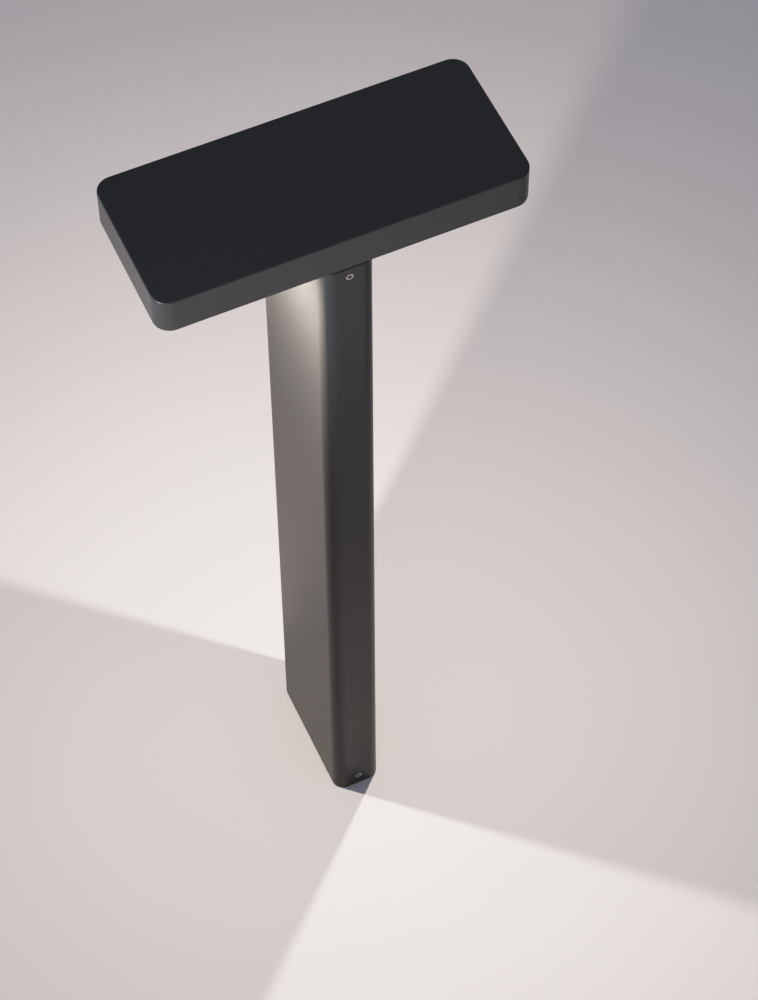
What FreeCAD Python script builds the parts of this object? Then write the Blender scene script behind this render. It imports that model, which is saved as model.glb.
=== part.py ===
import FreeCAD, Part
import math
import os
import re

import Sketcher

# Bollard light: a slab-shaped head on a flat rectangular post.
# The origin is the centre of the base, on the ground. +Z is up, X runs along the head's
# long side and Y along its short side. The head is as deep in Y as the post, so both ends
# are flush. All lengths are in millimetres.

doc = FreeCAD.newDocument("BollardLight")
sheet = doc.addObject("Spreadsheet::Sheet", "Sizes")

SIZES = {
    # overall
    "total_height": 650,
    "body_depth": 102,
    # head casting
    "head_length": 240,
    "head_thickness": 26,
    "head_corner": 11,
    "head_edge": 0.8,
    "head_rim_edge": 0.4,
    "head_wall": 3,
    "head_roof": 3.5,
    "ledge_width": 3,
    # underplate and its fixings
    "plate_thickness": 3,
    "plate_gap": 0.3,
    "plate_seal": 1.2,
    "plate_boss_radius": 3.6,
    "plate_screw_inset": 11,
    "plate_screw_reach": 12,
    "middle_screw_clear": 6.5,
    "middle_screw_inset": 10,
    # light wings, one each side of the post
    "wing_post_clear": 4.8,
    "wing_end_clear": 2.3,
    "window_margin": 17,
    "window_corner": 8,
    "glass_lap": 4,
    "glass_seal": 1,
    "glass_thickness": 4,
    "glass_edge": 0.4,
    "seal_setback": 0.5,
    "reflector_thickness": 3,
    "reflector_lap": 2.5,
    "reflector_rim": 2,
    "reflector_throat": 6,
    "standoff_inset": 10.5,
    "standoff_radius": 3.2,
    "board_length": 50,
    "board_width": 54,
    "board_thickness": 1.6,
    "board_corner": 3,
    "thermal_pad": 0.5,
    "pad_inset": 0.5,
    "pedestal_length": 36,
    "pedestal_width": 50,
    "board_screw_x": 14,
    "board_screw_y": 21,
    "wing_screw_reach": 7,
    "emitter_size": 5,
    "emitter_base": 0.8,
    "dome_radius": 2.1,
    "dome_height": 1.7,
    "dome_edge": 1.53,
    "connector_length": 6,
    "connector_width": 8,
    "connector_height": 6,
    "lead_radius": 1.1,
    "lead_bend": 6,
    "lead_straight": 1,
    # post
    "post_thickness": 35,
    "post_corner": 9,
    "post_wall": 2.5,
    "neck_seal": 1.2,
    "base_seal": 1,
    "seal_inset": 0.8,
    "top_screw_drop": 7.8,
    "foot_screw_height": 11.5,
    "fixing_radius": 2.45,
    "fixing_key": 2.5,
    "fixing_key_depth": 2.2,
    "fixing_reach": 8,
    "fixing_hole": 9,
    # spigot that joins head and post
    "spigot_gap": 0.4,
    "spigot_wall": 3.5,
    "spigot_end": 12,
    "spigot_length": 45,
    "spigot_corner": 3,
    "spigot_screw_x": 7,
    "spigot_screw_inset": 10.5,
    "spigot_screw_reach": 16,
    "spigot_hole": 15,
    # cable gland
    "gland_thread": 6,
    "gland_flats": 16,
    "gland_ring": 1,
    "gland_rim": 7,
    "gland_nut": 4,
    "gland_cap": 10,
    "gland_cap_floor": 2,
    "gland_cap_edge": 1,
    "gland_stem_end": 1,
    "output_radius": 2.5,
    # pressure vent
    "vent_clear": 6,
    "vent_bore": 3,
    "vent_cap": 4,
    "vent_cap_height": 1.2,
    "vent_edge": 0.4,
    "vent_neck": 3,
    "vent_nut": 2,
    # mounting foot
    "foot_plate": 4,
    "upright_wall": 5,
    "upright_height": 34,
    "anchor_clear": 9.2,
    "anchor_radius": 3.3,
    "entry_radius": 10,
    "entry_bore": 6,
    "grommet_lip": 2.5,
    "grommet_flange": 1.5,
    "grommet_edge": 0.5,
    "grommet_lift": 0.5,
    # gear tray
    "tray_clear": 3,
    "tray_sheet": 2,
    "tray_width": 56,
    "tray_top": 345,
    "tray_screw_y": 18.5,
    "tray_screw_reach": 5.5,
    # driver
    "driver_base": 150,
    "driver_length": 120,
    "driver_width": 42,
    "driver_height": 20,
    "driver_wall": 1.5,
    "driver_corner": 2.5,
    "cap_thickness": 4,
    "ear_length": 10,
    "ear_width": 20,
    "ear_thickness": 3,
    "ear_screw_share": 0.6,
    "driver_wire_y": 6,
    "driver_wire_rise": 12,
    "driver_board_rise": 2,
    "core_width": 22,
    "core_length": 26,
    "core_height": 4,
    "winding_width": 16,
    "winding_length": 18,
    "winding_height": 6,
    "can_radius": 5,
    "can_height": 10.5,
    "can_y": 9,
    "can_low": 22,
    "can_high": 24,
    # terminal block
    "block_base": 82,
    "block_height": 26,
    "block_depth": 14,
    "block_width": 37,
    "pole_pitch": 12,
    "lever_axis_depth": 3,
    "lever_axis_drop": 4,
    "lever_length": 12.5,
    "lever_width": 7.5,
    "lever_sheet": 2,
    "knuckle_radius": 2.2,
    "trunnion_radius": 1.2,
    "trunnion_length": 1.6,
    "trunnion_gap": 0.05,
    "lever_gap": 0.3,
    "lever_tip_room": 1.5,
    "terminal_rise": 4.5,
    "wire_bore": 1.3,
    "wire_depth": 8,
    "contact_thickness": 3,
    "contact_width": 6,
    "tab_width": 7.5,
    "tab_thickness": 3,
    "tab_height": 10,
    "tab_screw_y": 22,
    "tab_screw_rise": 13,
    # earth stud and cable clips
    "earth_y": 22,
    "earth_z": 140,
    "earth_washer": 0.8,
    "lug_radius": 4,
    "lug_sheet": 0.8,
    "lug_tongue_width": 3,
    "lug_tongue_length": 7,
    "lug_barrel_width": 3.4,
    "lug_barrel_length": 4,
    "lug_barrel_height": 3.2,
    "lug_barrel_drop": 6.5,
    "earth_screw_reach": 6,
    "clip_low": 322,
    "clip_high": 338,
    "clip_size": 9,
    "clip_ear": 1,
    "clip_stem_end": 0.6,
    # routes of the internal wires and the output cable
    "wire_rise": 8,
    "wire_drop": 14,
    "cable_rise": 18,
    "cable_below_clips": 15,
    "cable_above_clips": 17,
    "cable_at_centre": 41,
    # screw sizes: shank radius, head radius, head height and key across flats
    "small_shank": 1.5,
    "small_head": 2.75,
    "small_head_height": 1.9,
    "small_key": 2,
    "large_shank": 2,
    "large_head": 3.6,
    "large_head_height": 2.6,
    "large_key": 2.5,
    # gaps and shares
    "thread_gap": 0.05,
    "shank_gap": 0.25,
    "fit_gap": 0.2,
    "loose_gap": 0.3,
    "blind_spare": 0.5,
    "pan_key_share": 0.6,
    "sunk_key_share": 0.7,
}

for row, (name, value) in enumerate(SIZES.items(), start=1):
    sheet.set(f"A{row}", name)
    sheet.set(f"B{row}", str(value))
    sheet.setAlias(f"B{row}", name)
doc.recompute()

# Levels and places that follow from the sizes, as sheet expressions.
UNDERSIDE = "(total_height - head_thickness)"
PLATE_TOP = f"({UNDERSIDE} + plate_thickness)"
LEDGE = f"({PLATE_TOP} + plate_seal)"
CEILING = "(total_height - head_roof)"
GLASS_FOOT = f"({PLATE_TOP} + glass_seal)"
GLASS_TOP = f"({GLASS_FOOT} + glass_thickness)"
BOARD_FACE = f"({GLASS_TOP} + reflector_thickness)"
BOARD_BACK = f"({BOARD_FACE} + board_thickness)"
PEDESTAL_FACE = f"({BOARD_BACK} + thermal_pad)"
POST_TOP = f"({UNDERSIDE} - neck_seal)"
TOP_SCREW = f"({POST_TOP} - top_screw_drop)"
INNER_X = "(post_thickness - 2 * post_wall)"
INNER_Y = "(body_depth - 2 * post_wall)"
INNER_CORNER = "(post_corner - post_wall)"
SPIGOT_X = f"({INNER_X} - 2 * spigot_gap)"
SPIGOT_Y = f"({INNER_Y} - 2 * spigot_gap)"
FOOT_Y = f"({INNER_Y} - 2 * loose_gap)"
PLATE_X = "(head_length - 2 * head_wall - 2 * plate_gap)"
PLATE_Y = "(body_depth - 2 * head_wall - 2 * plate_gap)"
PLATE_CORNER = "(head_corner - head_wall - plate_gap)"
LEDGE_INSET = "(head_wall + ledge_width)"
WING_OUTER = f"(head_length / 2 - {LEDGE_INSET} - wing_end_clear)"
WING_INNER = "(post_thickness / 2 + wing_post_clear)"
WING_MIDDLE = f"(({WING_OUTER} + {WING_INNER}) / 2)"
WING_HALF = f"(({WING_OUTER} - {WING_INNER}) / 2)"
STANDOFF_X = f"({WING_HALF} - standoff_radius)"
GLASS_X = f"(2 * ({STANDOFF_X} - standoff_radius - loose_gap))"
WINDOW_X = f"({GLASS_X} - 2 * glass_lap)"
WINDOW_Y = "(body_depth - 2 * window_margin)"
GLASS_Y = f"({WINDOW_Y} + 2 * glass_lap)"
REFLECTOR_Y = f"({WINDOW_Y} + 2 * reflector_lap)"
STANDOFF_Y = f"({REFLECTOR_Y} / 2 - standoff_inset)"
REFLECTOR_MOUTH = f"(min({WINDOW_X}; {WINDOW_Y}) / 2 - reflector_rim)"
GLASS_CORNER = "(window_corner + glass_lap)"
LEAD_LEVEL = f"({BOARD_BACK} + connector_height / 2)"
SHEATH_END = f"({LEAD_LEVEL} - lead_bend - lead_straight)"
TRAY_REACH = f"({INNER_X} / 2 - tray_clear)"
TRAY_BACK = f"(-{TRAY_REACH})"
TRAY_FACE = f"({TRAY_BACK} + tray_sheet)"
TRAY_FOOT = "(foot_plate + tray_sheet)"
CAP_FOOT = "(driver_base - cap_thickness)"
CAP_TOP = "(driver_base + driver_length + cap_thickness)"
BLOCK_TOP = "(block_base + block_height)"
BLOCK_FACE = f"({TRAY_FACE} + block_depth)"
TERMINAL_X = f"({TRAY_FACE} + terminal_rise)"
LEVER_AXIS_X = f"({BLOCK_FACE} - lever_axis_depth)"
DRIVER_WIRE_X = f"({TRAY_FACE} + driver_wire_rise)"
LEVER_AXIS_Z = f"({BLOCK_TOP} - lever_axis_drop)"
CONTACT_FOOT = "(block_base + wire_depth)"
CONTACT_TOP = f"({BLOCK_TOP} - wire_depth)"
TAB_SCREW_Z = "(block_base + tab_screw_rise)"

POLES = {"line": "-pole_pitch", "neutral": "0", "earth": "pole_pitch"}
WINGS = {"left": -1, "right": 1}
PLANES = {"X": ("YZ_Plane", 1), "Y": ("XZ_Plane", -1), "Z": ("XY_Plane", 1)}
pieces = []


def bind(text):
    """Give each sheet name in an expression its sheet."""
    return re.sub(r"[a-z]\w*", lambda word: "Sizes." + word[0] if word[0] in SIZES else word[0], text)


def size(text):
    """The value of an expression now."""
    return float(origin_marker.evalExpression(bind(text)))


def piece(label):
    body = doc.addObject("PartDesign::Body", label)
    body.Label = label
    pieces.append(body)
    return body


# The origin of the part, which also serves to evaluate expressions.
origin_marker = doc.addObject("Part::Vertex", "origin_marker")


def sketch(body, normal, level, right="0", up="0"):
    """A sketch across X, Y or Z at a level, with its own origin moved right and up."""
    role, sense = PLANES[normal]
    profile = body.newObject("Sketcher::SketchObject", body.Label + "_sketch")
    profile.AttachmentSupport = (next(f for f in body.Origin.OriginFeatures if f.Role == role), [""])
    profile.MapMode = "FlatFace"
    profile.setExpression("AttachmentOffset.Base.x", bind(right))
    profile.setExpression("AttachmentOffset.Base.y", bind(up))
    profile.setExpression("AttachmentOffset.Base.z", bind(f"{sense} * ({level})"))
    return profile


def hold(profile, kind, where, text):
    """A dimension bound to an expression."""
    index = profile.addConstraint(Sketcher.Constraint(kind, *where, size(text)))
    profile.setExpression(f"Constraints[{index}]", bind(text))


def hold_point(profile, element, point, x, y):
    hold(profile, "DistanceX", (-1, 1, element, point), x)
    hold(profile, "DistanceY", (-1, 1, element, point), y)


def circles(profile, centres, radius):
    for x, y in centres:
        middle = FreeCAD.Vector(size(x), size(y), 0)
        ring = profile.addGeometry(Part.Circle(middle, FreeCAD.Vector(0, 0, 1), size(radius)), False)
        hold_point(profile, ring, 3, x, y)
        hold(profile, "Radius", (ring,), radius)
    return profile


def outline(profile, points):
    """A closed run of straight lines through points given as expressions."""
    corners = [FreeCAD.Vector(size(x), size(y), 0) for x, y in points]
    lines = [Part.LineSegment(a, b) for a, b in zip(corners, corners[1:] + corners[:1])]
    first = profile.addGeometry(lines, False)[0]
    for index, (x, y) in enumerate(points):
        following = (index + 1) % len(points)
        profile.addConstraint(Sketcher.Constraint("Coincident", first + index, 2, first + following, 1))
        hold_point(profile, first + index, 1, x, y)
    return profile


def rectangle(profile, x, y, width, height):
    half_w, half_h = f"({width}) / 2", f"({height}) / 2"
    ends = ((-1, -1), (1, -1), (1, 1), (-1, 1))
    return outline(profile, [(f"{x} + {i} * {half_w}", f"{y} + {j} * {half_h}") for i, j in ends])


def hexagons(profile, centres, flats):
    """Hexagons of a width across flats."""
    for x, y in centres:
        reach = f"({flats}) / 2 / cos(30 deg)"
        turns = [(f"cos({60 * k} deg)", f"sin({60 * k} deg)") for k in range(6)]
        outline(profile, [(f"{x} + {reach} * {c}", f"{y} + {reach} * {s}") for c, s in turns])
    return profile


def slab(profile, x, y, width, height, corner):
    """A rectangle with rounded corners, its arcs held by their centres."""
    signs = ((1, 1), (-1, 1), (-1, -1), (1, -1))
    radius = size(corner)
    arcs = []
    for quarter, (i, j) in enumerate(signs):
        cx = f"{x} + {i} * (({width}) / 2 - ({corner}))"
        cy = f"{y} + {j} * (({height}) / 2 - ({corner}))"
        ring = Part.Circle(FreeCAD.Vector(size(cx), size(cy), 0), FreeCAD.Vector(0, 0, 1), radius)
        start = quarter * math.pi / 2
        arcs.append(profile.addGeometry(Part.ArcOfCircle(ring, start, start + math.pi / 2), False))
        hold_point(profile, arcs[-1], 3, cx, cy)
        hold(profile, "Radius", (arcs[-1],), corner)
    for arc, following in zip(arcs, arcs[1:] + arcs[:1]):
        start, end = profile.getPoint(arc, 2), profile.getPoint(following, 1)
        line = profile.addGeometry(Part.LineSegment(start, end), False)
        profile.addConstraint(Sketcher.Constraint("Tangent", arc, 2, line, 1))
        profile.addConstraint(Sketcher.Constraint("Tangent", line, 2, following, 1))
    return profile


def sense_of(profile):
    """+1 where the sketch faces along its axis, -1 where it faces against it."""
    role = profile.AttachmentSupport[0][0].Role
    return next(sense for name, sense in PLANES.values() if name == role)


def pad(profile, length, towards=1, taper=0, both=False):
    """Grow material from a sketch, towards plus or minus its axis, or both ways."""
    body = profile.getParentGeoFeatureGroup()
    feature = body.newObject("PartDesign::Pad", body.Label + "_pad")
    feature.Profile = profile
    feature.setExpression("Length", bind(length))
    feature.TaperAngle = taper
    feature.Reversed = towards * sense_of(profile) < 0
    feature.SideType = "Symmetric" if both else "One side"
    doc.recompute()
    return feature


def pocket(profile, length, towards=1, taper=0, both=False):
    """Cut from a sketch, towards plus or minus its axis, or both ways."""
    body = profile.getParentGeoFeatureGroup()
    feature = body.newObject("PartDesign::Pocket", body.Label + "_pocket")
    feature.Profile = profile
    feature.setExpression("Length", bind(length))
    feature.TaperAngle = taper
    feature.Reversed = towards * sense_of(profile) > 0
    feature.SideType = "Symmetric" if both else "One side"
    doc.recompute()
    return feature


def turn(profile, cut=False):
    """Revolve a sketch about its own vertical axis."""
    body = profile.getParentGeoFeatureGroup()
    kind = "Groove" if cut else "Revolution"
    feature = body.newObject("PartDesign::" + kind, body.Label + "_turn")
    feature.Profile = profile
    feature.ReferenceAxis = (profile, ["V_Axis"])
    feature.Angle = 360
    doc.recompute()
    return feature


def round_edges(body, radius, chosen):
    """Fillet the edges of the body's last feature that a test picks out."""
    last = body.Tip
    names = [f"Edge{i}" for i, edge in enumerate(last.Shape.Edges, start=1) if chosen(edge)]
    feature = body.newObject("PartDesign::Fillet", body.Label + "_edge")
    feature.Base = (last, names)
    feature.setExpression("Radius", bind(radius))
    doc.recompute()


def flat_at(level):
    """True for an edge that lies at one height."""
    height = size(level)

    def test(edge):
        box = edge.BoundBox
        return abs(box.ZMin - height) < 1e-4 and abs(box.ZMax - height) < 1e-4

    return test


def pan_screws(body, normal, spots, seat, towards, kind, reach):
    """Pan-head hex-socket screws: heads outside the seat, shanks going in."""
    shank, head, height = f"{kind}_shank", f"{kind}_head", f"{kind}_head_height"
    pad(circles(sketch(body, normal, seat), spots, head), height, -towards)
    pad(circles(sketch(body, normal, seat), spots, shank), reach, towards)
    top = f"{seat} - {towards} * {height}"
    pocket(hexagons(sketch(body, normal, top), spots, f"{kind}_key"), f"{height} * pan_key_share", towards)


def sunk_screws(body, normal, spots, face, towards, kind, reach):
    """Countersunk hex-socket screws, flush with a face, with 45 degree cones."""
    shank, head = f"{kind}_shank", f"{kind}_head"
    pad(circles(sketch(body, normal, face), spots, head), f"{head} - {shank}", towards, -45)
    pad(circles(sketch(body, normal, face), spots, shank), reach, towards)
    key = f"{kind}_key"
    pocket(hexagons(sketch(body, normal, face), spots, key), f"{key} * sunk_key_share", towards)


def sunk_holes(body, normal, spots, face, towards, kind, reach):
    """Countersunk clearance holes for sunk_screws."""
    shank, head = f"{kind}_shank", f"{kind}_head"
    cone = circles(sketch(body, normal, face), spots, f"{head} + shank_gap")
    pocket(cone, f"{head} - {shank}", towards, -45)
    pocket(circles(sketch(body, normal, face), spots, f"{shank} + shank_gap"), reach, towards)


def plain_holes(body, normal, spots, face, towards, radius, reach):
    pocket(circles(sketch(body, normal, face), spots, radius), reach, towards)


def four(x, y, middle="0"):
    """Four spots round a middle on the X axis."""
    return [(f"{middle} + {i} * ({x})", f"{j} * ({y})") for i in (-1, 1) for j in (-1, 1)]


def run(label, points, radius, bend_limit=None):
    """A wire or cable: straight runs joined by tangent arcs, as large as the runs or a limit allow."""
    spots = [FreeCAD.Vector(*(size(value) for value in point)) for point in points]
    edges, start = [], spots[0]
    for before, corner, after in zip(spots, spots[1:], spots[2:]):
        inward, outward = (before - corner), (after - corner)
        share = 0.45 * min(inward.Length, outward.Length)
        half_turn = (math.pi - inward.getAngle(outward)) / 2
        if bend_limit:
            share = size(bend_limit) * math.tan(half_turn)
        bend = share / math.tan(half_turn)
        inward.normalize()
        outward.normalize()
        middle_way = (inward + outward).normalize()
        middle = corner + middle_way * (math.hypot(share, bend) - bend)
        arc = Part.Arc(corner + inward * share, middle, corner + outward * share)
        edges += [Part.LineSegment(start, arc.StartPoint).toShape(), arc.toShape()]
        start = arc.EndPoint
        print(f"{label}: bend radius {bend:.1f}")
    edges.append(Part.LineSegment(start, spots[-1]).toShape())
    path = Part.Wire(edges)
    along = spots[1] - spots[0]
    disc = Part.Wire(Part.Circle(spots[0], along, size(radius)).toShape())
    tube = path.makePipeShell([disc], True, False)
    expected = math.pi * size(radius) ** 2 * path.Length
    print(f"{label}: length {path.Length:.1f}, volume ratio {tube.Volume / expected:.4f}")
    cable = doc.addObject("Part::Feature", label)
    cable.Label = label
    cable.Shape = tube
    cable.Placement = FreeCAD.Placement()
    pieces.append(cable)


CORNER_SPOTS = four("(head_length / 2 - plate_screw_inset)", "(body_depth / 2 - plate_screw_inset)")
MIDDLE_SPOTS = four("(post_thickness / 2 + middle_screw_clear)", "(body_depth / 2 - middle_screw_inset)")
PLATE_SPOTS = CORNER_SPOTS + MIDDLE_SPOTS
SPIGOT_SPOTS = four("spigot_screw_x", "(body_depth / 2 - spigot_screw_inset)")
POST_ENDS = ((-1, "(-body_depth / 2)"), (1, "(body_depth / 2)"))
VENT_SPOT = ("(-post_thickness / 2 - vent_clear)", "0")
TRAY_SPOTS = [("0", f"{j} * tray_screw_y") for j in (-1, 1)]
EAR_SCREW = "(ear_length * ear_screw_share)"
DRIVER_SPOTS = [("0", f"{CAP_FOOT} - {EAR_SCREW}"), ("0", f"{CAP_TOP} + {EAR_SCREW}")]
BLOCK_SPOTS = [(f"{j} * tab_screw_y", TAB_SCREW_Z) for j in (-1, 1)]
EARTH_SPOT = [("earth_y", "earth_z")]
LUG_FOOT = "(earth_z - lug_barrel_drop - lug_barrel_length)"
CLIP_X = f"({TRAY_FACE} + clip_size / 2)"
CLIP_SPOTS = [("0", "clip_low"), ("0", "clip_high")]
CONNECTOR_X = f"({WING_MIDDLE} - board_length / 2 + connector_length / 2 + loose_gap)"
UPRIGHT_X = f"({INNER_X} - 2 * {INNER_CORNER})"


def wing_middle(side):
    return f"({side} * {WING_MIDDLE})"


def head_housing():
    """Cast shell, open below, with bosses for the underplate and a pedestal per LED board."""
    body = piece("head_housing")
    block = sketch(body, "Z", UNDERSIDE)
    slab(block, "0", "0", "head_length", "body_depth", "head_corner")
    pad(block, "head_thickness")
    round_edges(body, "head_edge", flat_at("total_height"))
    round_edges(body, "head_rim_edge", flat_at(UNDERSIDE))
    mouth = sketch(body, "Z", UNDERSIDE)
    slab(mouth, "0", "0", "head_length - 2 * head_wall", "body_depth - 2 * head_wall",
         "head_corner - head_wall")
    pocket(mouth, f"{LEDGE} - {UNDERSIDE}")
    cavity = sketch(body, "Z", LEDGE)
    slab(cavity, "0", "0", f"head_length - 2 * {LEDGE_INSET}", f"body_depth - 2 * {LEDGE_INSET}",
         f"head_corner - {LEDGE_INSET}")
    pocket(cavity, f"{CEILING} - {LEDGE}")
    for side in WINGS.values():
        pedestal = sketch(body, "Z", CEILING)
        rectangle(pedestal, wing_middle(side), "0", "pedestal_length", "pedestal_width")
        pad(pedestal, f"{CEILING} - {PEDESTAL_FACE}", -1)
        spots = four("board_screw_x", "board_screw_y", wing_middle(side))
        plain_holes(body, "Z", spots, PEDESTAL_FACE, 1, "small_shank + thread_gap",
                    "wing_screw_reach + blind_spare")
    pad(circles(sketch(body, "Z", CEILING), PLATE_SPOTS, "plate_boss_radius"), f"{CEILING} - {PLATE_TOP}", -1)
    plain_holes(body, "Z", PLATE_SPOTS, PLATE_TOP, 1, "large_shank + thread_gap", "plate_screw_reach")


def underplate():
    """Cover flush with the head's rim, with the two windows and the gland hole."""
    body = piece("underplate")
    plate = sketch(body, "Z", UNDERSIDE)
    slab(plate, "0", "0", PLATE_X, PLATE_Y, PLATE_CORNER)
    pad(plate, "plate_thickness")
    for side in WINGS.values():
        window = sketch(body, "Z", UNDERSIDE)
        slab(window, wing_middle(side), "0", WINDOW_X, WINDOW_Y, "window_corner")
        pocket(window, "plate_thickness")
        spots = four(STANDOFF_X, STANDOFF_Y, wing_middle(side))
        pad(circles(sketch(body, "Z", PLATE_TOP), spots, "standoff_radius"), f"{GLASS_TOP} - {PLATE_TOP}")
        plain_holes(body, "Z", spots, GLASS_TOP, -1, "small_shank + thread_gap", f"{GLASS_TOP} - {PLATE_TOP}")
    sunk_holes(body, "Z", PLATE_SPOTS, UNDERSIDE, 1, "large", "plate_thickness")
    plain_holes(body, "Z", SPIGOT_SPOTS, UNDERSIDE, 1, "large_shank + shank_gap", "plate_thickness")
    plain_holes(body, "Z", [("0", "0")], UNDERSIDE, 1, "gland_thread + fit_gap", "plate_thickness")
    plain_holes(body, "Z", [VENT_SPOT], UNDERSIDE, 1, "vent_bore", "plate_thickness")


def underplate_gasket():
    """Flat ring squeezed between the underplate and the casting's ledge."""
    body = piece("underplate_gasket")
    ring = sketch(body, "Z", PLATE_TOP)
    slab(ring, "0", "0", PLATE_X, PLATE_Y, PLATE_CORNER)
    slab(ring, "0", "0", f"head_length - 2 * {LEDGE_INSET}", f"body_depth - 2 * {LEDGE_INSET}",
         f"head_corner - {LEDGE_INSET}")
    pad(ring, "plate_seal")


def underplate_screws():
    body = piece("underplate_screws")
    sunk_screws(body, "Z", PLATE_SPOTS, UNDERSIDE, 1, "large", "plate_screw_reach")


def vent_plug():
    """Pressure vent: a low cap below the underplate, a threaded neck and a nut above it."""
    body = piece("vent_plug")
    pad(circles(sketch(body, "Z", UNDERSIDE), [VENT_SPOT], "vent_cap"), "vent_cap_height", -1)
    round_edges(body, "vent_edge", flat_at(f"{UNDERSIDE} - vent_cap_height"))
    neck = circles(sketch(body, "Z", UNDERSIDE), [VENT_SPOT], "vent_bore - fit_gap / 2")
    pad(neck, "plate_thickness + vent_neck")
    pad(hexagons(sketch(body, "Z", PLATE_TOP), [VENT_SPOT], "2 * vent_cap"), "vent_nut")


def light_wing(name, side):
    """Everything under one overhang: window, reflector, LED board and its parts."""
    middle = wing_middle(side)

    body = piece(f"window_gasket_{name}")
    ring = sketch(body, "Z", PLATE_TOP)
    slab(ring, middle, "0", GLASS_X, GLASS_Y, GLASS_CORNER)
    slab(ring, middle, "0", f"{WINDOW_X} + 2 * seal_setback", f"{WINDOW_Y} + 2 * seal_setback",
         "window_corner + seal_setback")
    pad(ring, "glass_seal")

    body = piece(f"window_glass_{name}")
    pane = sketch(body, "Z", GLASS_FOOT)
    slab(pane, middle, "0", GLASS_X, GLASS_Y, GLASS_CORNER)
    pad(pane, "glass_thickness")
    round_edges(body, "glass_edge", flat_at(GLASS_FOOT))

    body = piece(f"reflector_{name}")
    frame = sketch(body, "Z", GLASS_TOP)
    slab(frame, middle, "0", f"2 * {WING_HALF}", REFLECTOR_Y, "window_corner")
    pad(frame, "reflector_thickness")
    dish = sketch(body, "Y", "0", middle, GLASS_TOP)
    outline(dish, [("0", "0"), (REFLECTOR_MOUTH, "0"),
                   ("reflector_throat", "reflector_thickness"), ("0", "reflector_thickness")])
    turn(dish, cut=True)
    heads = four("board_screw_x", "board_screw_y", middle)
    plain_holes(body, "Z", heads, GLASS_TOP, 1, "small_head + shank_gap", "reflector_thickness")
    fixings = four(STANDOFF_X, STANDOFF_Y, middle)
    plain_holes(body, "Z", fixings, GLASS_TOP, 1, "small_shank + shank_gap", "reflector_thickness")

    body = piece(f"led_board_{name}")
    board = sketch(body, "Z", BOARD_FACE)
    slab(board, middle, "0", "board_length", "board_width", "board_corner")
    pad(board, "board_thickness")
    plain_holes(body, "Z", heads, BOARD_FACE, 1, "small_shank + shank_gap", "board_thickness")

    body = piece(f"led_emitter_{name}")
    base = sketch(body, "Z", BOARD_FACE)
    rectangle(base, middle, "0", "emitter_size", "emitter_size")
    pad(base, "emitter_base", -1)
    lens_seat = f"{BOARD_FACE} - emitter_base"
    pad(circles(sketch(body, "Z", lens_seat), [(middle, "0")], "dome_radius"), "dome_height", -1)
    round_edges(body, "dome_edge", flat_at(f"{lens_seat} - dome_height"))

    body = piece(f"led_connector_{name}")
    socket = sketch(body, "Z", BOARD_BACK)
    rectangle(socket, f"{side} * {CONNECTOR_X}", "0", "connector_length", "connector_width")
    pad(socket, "connector_height")

    body = piece(f"thermal_pad_{name}")
    sheet_pad = sketch(body, "Z", BOARD_BACK)
    rectangle(sheet_pad, middle, "0", "pedestal_length - 2 * pad_inset",
              "pedestal_width - 2 * pad_inset")
    pad(sheet_pad, "thermal_pad")
    plain_holes(body, "Z", heads, BOARD_BACK, 1, "small_shank + shank_gap", "thermal_pad")

    entry = f"{side} * ({CONNECTOR_X} - connector_length / 2)"
    start = f"{side} * (lead_radius + fit_gap)"
    run(f"led_lead_{name}",
        [(start, "0", SHEATH_END), (start, "0", LEAD_LEVEL), (entry, "0", LEAD_LEVEL)],
        "lead_radius", "lead_bend")


def wing_screws():
    """Fixings of both reflectors and both LED boards."""
    heads, fixings = [], []
    for side in WINGS.values():
        heads += four("board_screw_x", "board_screw_y", wing_middle(side))
        fixings += four(STANDOFF_X, STANDOFF_Y, wing_middle(side))
    pan_screws(piece("led_board_screws"), "Z", heads, BOARD_FACE, 1, "small", "wing_screw_reach")
    pan_screws(piece("reflector_screws"), "Z", fixings, BOARD_FACE, -1, "small", "wing_screw_reach")


def cable_gland():
    """Gland that carries the driver's output cable through the underplate."""
    centre = [("0", "0")]
    bore = "output_radius + fit_gap"
    ring_face = f"({UNDERSIDE} - gland_ring)"
    rim_face = f"({ring_face} - gland_rim)"
    cap_face = f"({rim_face} - gland_cap)"

    body = piece("gland_body")
    pad(hexagons(sketch(body, "Z", rim_face), centre, "gland_flats"), "gland_rim")
    stem = circles(sketch(body, "Z", ring_face), centre, "gland_thread")
    pad(stem, f"{PLATE_TOP} + gland_nut + gland_stem_end - {ring_face}")
    pad(circles(sketch(body, "Z", rim_face), centre, "gland_thread"),
        "gland_cap - gland_cap_floor - blind_spare", -1)
    pocket(circles(sketch(body, "Z", cap_face), centre, bore),
           f"{PLATE_TOP} + gland_nut + 2 * gland_stem_end - {cap_face}")

    body = piece("gland_ring")
    ring = sketch(body, "Z", ring_face)
    circles(ring, centre, "gland_flats / 2")
    circles(ring, centre, "gland_thread + fit_gap / 2")
    pad(ring, "gland_ring")

    body = piece("gland_cap")
    pad(hexagons(sketch(body, "Z", cap_face), centre, "gland_flats"), "gland_cap")
    round_edges(body, "gland_cap_edge", flat_at(cap_face))
    pocket(circles(sketch(body, "Z", cap_face), centre, bore), "gland_cap")
    thread = circles(sketch(body, "Z", f"{cap_face} + gland_cap_floor"), centre, "gland_thread + fit_gap / 2")
    pocket(thread, "gland_cap - gland_cap_floor")

    body = piece("gland_nut")
    nut = sketch(body, "Z", PLATE_TOP)
    hexagons(nut, centre, "gland_flats")
    circles(nut, centre, "gland_thread + fit_gap / 2")
    pad(nut, "gland_nut")


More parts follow.
